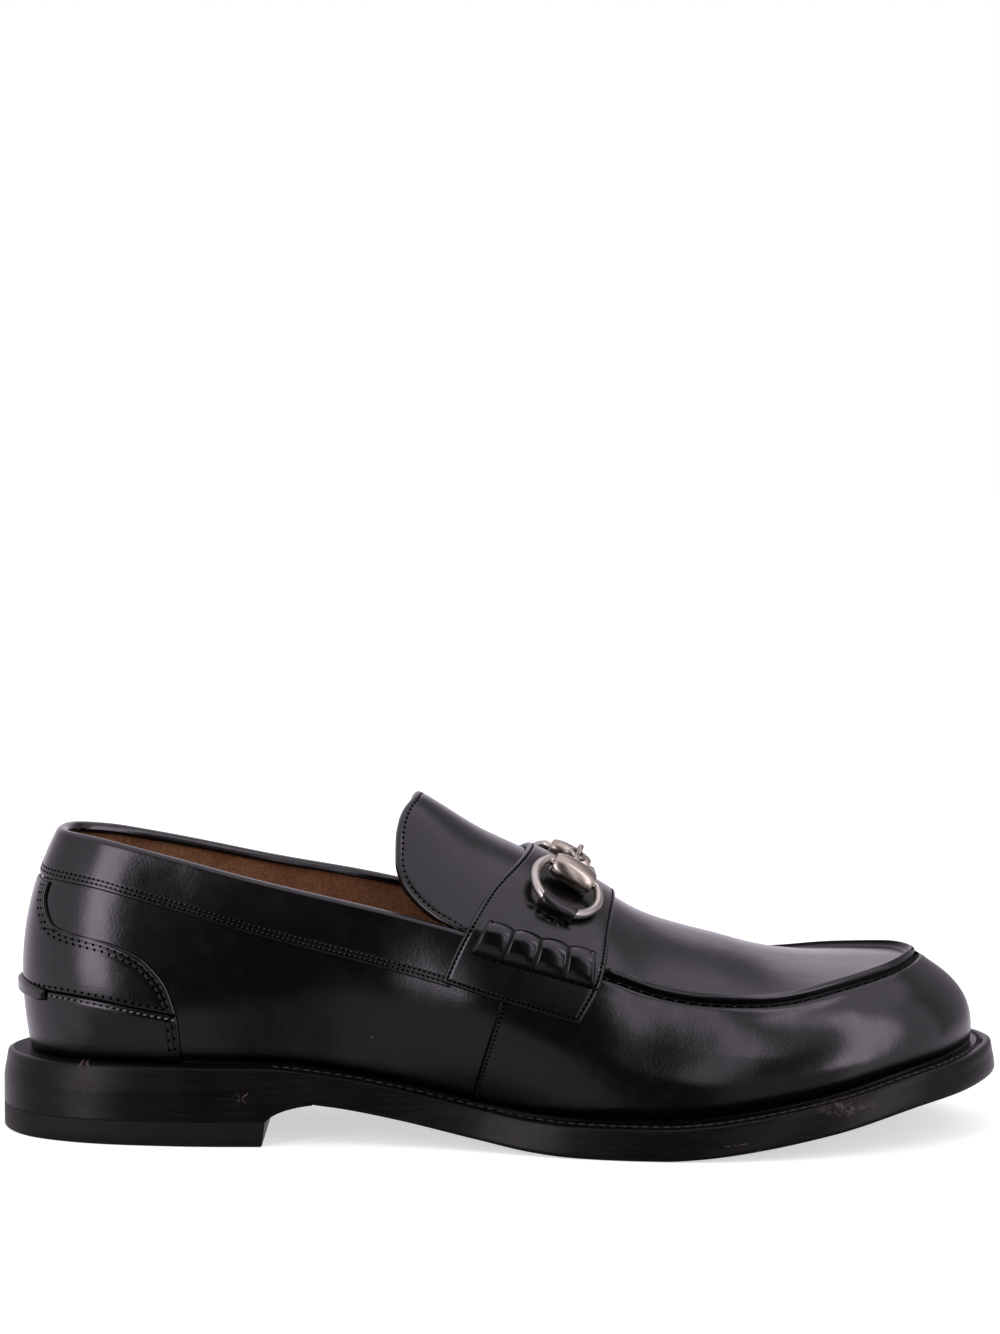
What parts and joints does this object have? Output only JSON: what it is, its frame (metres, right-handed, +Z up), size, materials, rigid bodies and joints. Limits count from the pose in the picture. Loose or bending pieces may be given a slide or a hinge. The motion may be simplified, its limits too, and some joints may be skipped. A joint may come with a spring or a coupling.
{
  "type": "leather bit loafer",
  "caption": "Low slip-on leather shoe with an apron toe, a saddle strap over the instep, a jointed metal snaffle bit, gathered side rolls and a stacked low heel.",
  "frame": {"origin": "on the floor, under the middle of the shoe's box; the shoe stands on z = 0", "axes": "+X from the heel's back to the toe, +Y to the shoe's inner side, which for this right shoe is the wearer's left, +Z up"},
  "size_m": [0.3026, 0.1086, 0.1012],
  "materials": {
    "leather": "polished black calf leather, brushed to a soft shine",
    "lining": "matte tan leather",
    "sole": "black-brown waxed edge, satin",
    "top_lift": "satin black rubber",
    "bit": "aged silver-coloured metal with a dark warm patina"
  },
  "bodies": {
    "root": {"outsole": "sole", "welt": "sole", "insole": "lining", "heel_stack": "sole", "top_lift": "top_lift", "upper": "leather", "tongue": "leather", "saddle_strap": "leather", "collar_band": "leather", "heel_counter": "leather", "heel_foxing": "leather", "heel_tab": "leather", "roll_outer": "leather", "roll_inner": "leather", "bit_ring_outer": "bit", "bit_ring_inner": "bit", "bit_barrel_outer": "bit", "bit_barrel_inner": "bit", "keeper_outer": "leather", "keeper_inner": "leather"}
  },
  "joints": []
}
